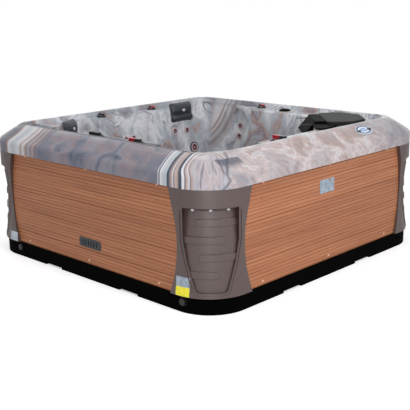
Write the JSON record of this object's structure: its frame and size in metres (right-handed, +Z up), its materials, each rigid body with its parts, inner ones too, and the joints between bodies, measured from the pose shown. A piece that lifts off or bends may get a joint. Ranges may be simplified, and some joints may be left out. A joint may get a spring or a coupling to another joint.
{
  "type": "hot tub",
  "caption": "Square acrylic hot tub with moulded seats and jets on a timber-look cabinet with ribbed corner mouldings and a dark base pan.",
  "frame": {"origin": "middle of the footprint, on the floor under the base pan", "axes": "+Z up; the front with the vent and the drains faces -Y; the filter is in the +X +Y corner"},
  "size_m": [2.13, 2.13, 0.871],
  "materials": {
    "acrylic": "polished marbled acrylic",
    "timber_look": "satin synthetic timber planks",
    "frame_timber": "planed softwood",
    "moulding": "satin moulded plastic",
    "base": "moulded sheet, matt",
    "dark_slate": "satin moulded plastic",
    "black_plastic": "satin moulded plastic",
    "pillow_foam": "skinned closed-cell foam",
    "grey_plastic": "moulded plastic",
    "red_plastic": "moulded plastic",
    "clear_lens": "frosted plastic",
    "copper_screw": "coated steel heads",
    "foam_board": "foam board",
    "white_pipe": "plastic pipe",
    "filter_paper": "pleated cloth",
    "lid_plastic": "satin moulded plastic",
    "motor_paint": "painted",
    "heater_steel": "brushed",
    "box_paint": "painted sheet"
  },
  "bodies": {
    "tub": {"acrylic_shell": "acrylic", "air_control_rings": "grey_plastic", "air_control_valves": "black_plastic", "base_pan": "base", "control_box": "box_paint", "corner_braces": "frame_timber", "corner_front_left": "moulding", "corner_front_right": "moulding", "corner_lights": "clear_lens", "corner_rear_left": "moulding", "corner_rear_right": "moulding", "deck_speaker": "black_plastic", "diverter_rings": "grey_plastic", "diverter_valves": "black_plastic", "drain_valves": "black_plastic", "filter_cartridge": "filter_paper", "footwell_lamp": "clear_lens", "footwell_strainers": "grey_plastic", "frame_posts": "frame_timber", "frame_rails": "frame_timber", "front_panel": "timber_look", "headrest_pillow_far": "pillow_foam", "headrest_pillow_left": "pillow_foam", "headrest_pillow_near": "pillow_foam", "heater": "heater_steel", "insulation_boards": "foam_board", "jet_bodies": "black_plastic", "left_panel": "timber_look", "panel_screws": "copper_screw", "pressure_pipes": "white_pipe", "pump_motors": "motor_paint", "pump_wet_ends": "black_plastic", "rear_panel": "timber_look", "right_panel": "timber_look", "skimmer_grille": "grey_plastic", "skimmer_hood": "black_plastic", "skimmer_housing": "grey_plastic", "small_jet_faces": "grey_plastic", "suction_pipes": "white_pipe", "topside_panel": "grey_plastic", "vent_grille": "dark_slate"},
    "air_control_knob_1": {"air_control_knob_1": "red_plastic"},
    "air_control_knob_2": {"air_control_knob_2": "red_plastic"},
    "air_control_knob_3": {"air_control_knob_3": "red_plastic"},
    "diverter_knob_1": {"diverter_knob_1": "red_plastic"},
    "diverter_knob_2": {"diverter_knob_2": "red_plastic"},
    "diverter_knob_3": {"diverter_knob_3": "red_plastic"},
    "large_jet_face_far": {"large_jet_face_far": "red_plastic"},
    "large_jet_face_left": {"large_jet_face_left": "red_plastic"},
    "large_jet_face_near": {"large_jet_face_near": "red_plastic"},
    "large_jet_face_mid": {"large_jet_face_mid": "red_plastic"},
    "topside_key_1": {"topside_key_1": "black_plastic"},
    "topside_key_2": {"topside_key_2": "black_plastic"},
    "topside_key_3": {"topside_key_3": "black_plastic"},
    "topside_key_4": {"topside_key_4": "black_plastic"},
    "filter_lid": {"filter_lid": "lid_plastic"},
    "weir_door": {"weir_door": "grey_plastic"},
    "drain_cap_left": {"drain_cap_left": "black_plastic"},
    "drain_cap_right": {"drain_cap_right": "black_plastic"}
  },
  "joints": [
    {"name": "air_control_1_turn", "type": "hinge", "parent": "tub", "child": "air_control_knob_1", "pos_m": [-0.82218, -0.23217, 0.838], "axis": [0, 0, 1], "range_deg": [-60, 60]},
    {"name": "air_control_2_turn", "type": "hinge", "parent": "tub", "child": "air_control_knob_2", "pos_m": [-0.82218, 0.26199, 0.838], "axis": [0, 0, 1], "range_deg": [-60, 60]},
    {"name": "air_control_3_turn", "type": "hinge", "parent": "tub", "child": "air_control_knob_3", "pos_m": [-0.20448, 0.83709, 0.838], "axis": [0, 0, 1], "range_deg": [-60, 60]},
    {"name": "diverter_1_turn", "type": "hinge", "parent": "tub", "child": "diverter_knob_1", "pos_m": [0.80833, -0.19489, 0.838], "axis": [0, 0, 1], "range_deg": [-90, 90]},
    {"name": "diverter_2_turn", "type": "hinge", "parent": "tub", "child": "diverter_knob_2", "pos_m": [0.20022, -0.80833, 0.838], "axis": [0, 0, 1], "range_deg": [-90, 90]},
    {"name": "diverter_3_turn", "type": "hinge", "parent": "tub", "child": "diverter_knob_3", "pos_m": [-0.17786, -0.80833, 0.838], "axis": [0, 0, 1], "range_deg": [-90, 90]},
    {"name": "large_jet_far_turn", "type": "hinge", "parent": "tub", "child": "large_jet_face_far", "pos_m": [-0.80123, 0.69454, 0.48395], "axis": [0.9863, 0, 0.1652], "range_deg": [-90, 90]},
    {"name": "large_jet_left_turn", "type": "hinge", "parent": "tub", "child": "large_jet_face_left", "pos_m": [-0.70457, -0.62196, 0.52018], "axis": [0.8786, 0.4502, 0.1596], "range_deg": [-90, 90]},
    {"name": "large_jet_near_turn", "type": "hinge", "parent": "tub", "child": "large_jet_face_near", "pos_m": [0.70448, -0.63088, 0.52], "axis": [-0.8692, 0.4673, 0.1614], "range_deg": [-90, 90]},
    {"name": "large_jet_mid_turn", "type": "hinge", "parent": "tub", "child": "large_jet_face_mid", "pos_m": [-0.80676, 0.02982, 0.54002], "axis": [0.9841, 0, 0.1775], "range_deg": [-90, 90]},
    {"name": "topside_key_1_press", "type": "slide", "parent": "tub", "child": "topside_key_1", "axis": [-0.5228, 0, -0.8524], "range_m": [0, 0.0012], "stiffness_N_per_m": 400},
    {"name": "topside_key_2_press", "type": "slide", "parent": "tub", "child": "topside_key_2", "axis": [-0.5228, 0, -0.8524], "range_m": [0, 0.0012], "stiffness_N_per_m": 400},
    {"name": "topside_key_3_press", "type": "slide", "parent": "tub", "child": "topside_key_3", "axis": [-0.5228, 0, -0.8524], "range_m": [0, 0.0012], "stiffness_N_per_m": 400},
    {"name": "topside_key_4_press", "type": "slide", "parent": "tub", "child": "topside_key_4", "axis": [-0.5228, 0, -0.8524], "range_m": [0, 0.0012], "stiffness_N_per_m": 400},
    {"name": "filter_lid_lift", "type": "slide", "parent": "tub", "child": "filter_lid", "axis": [0, 0, 1], "range_m": [0, 0.15]},
    {"name": "weir_door_swing", "type": "hinge", "parent": "tub", "child": "weir_door", "pos_m": [0.53351, 0.53351, 0.651], "axis": [-0.7071, 0.7071, 0], "range_deg": [0, 55], "stiffness_Nm_per_rad": 0.25, "springref_deg": -20.05},
    {"name": "drain_cap_left_turn", "type": "hinge", "parent": "tub", "child": "drain_cap_left", "pos_m": [-0.731, -1.037, 0.061], "axis": [0, -1, 0], "range_deg": [0, 360]},
    {"name": "drain_cap_right_turn", "type": "hinge", "parent": "tub", "child": "drain_cap_right", "pos_m": [0.822, -1.037, 0.061], "axis": [0, -1, 0], "range_deg": [0, 360]}
  ]
}
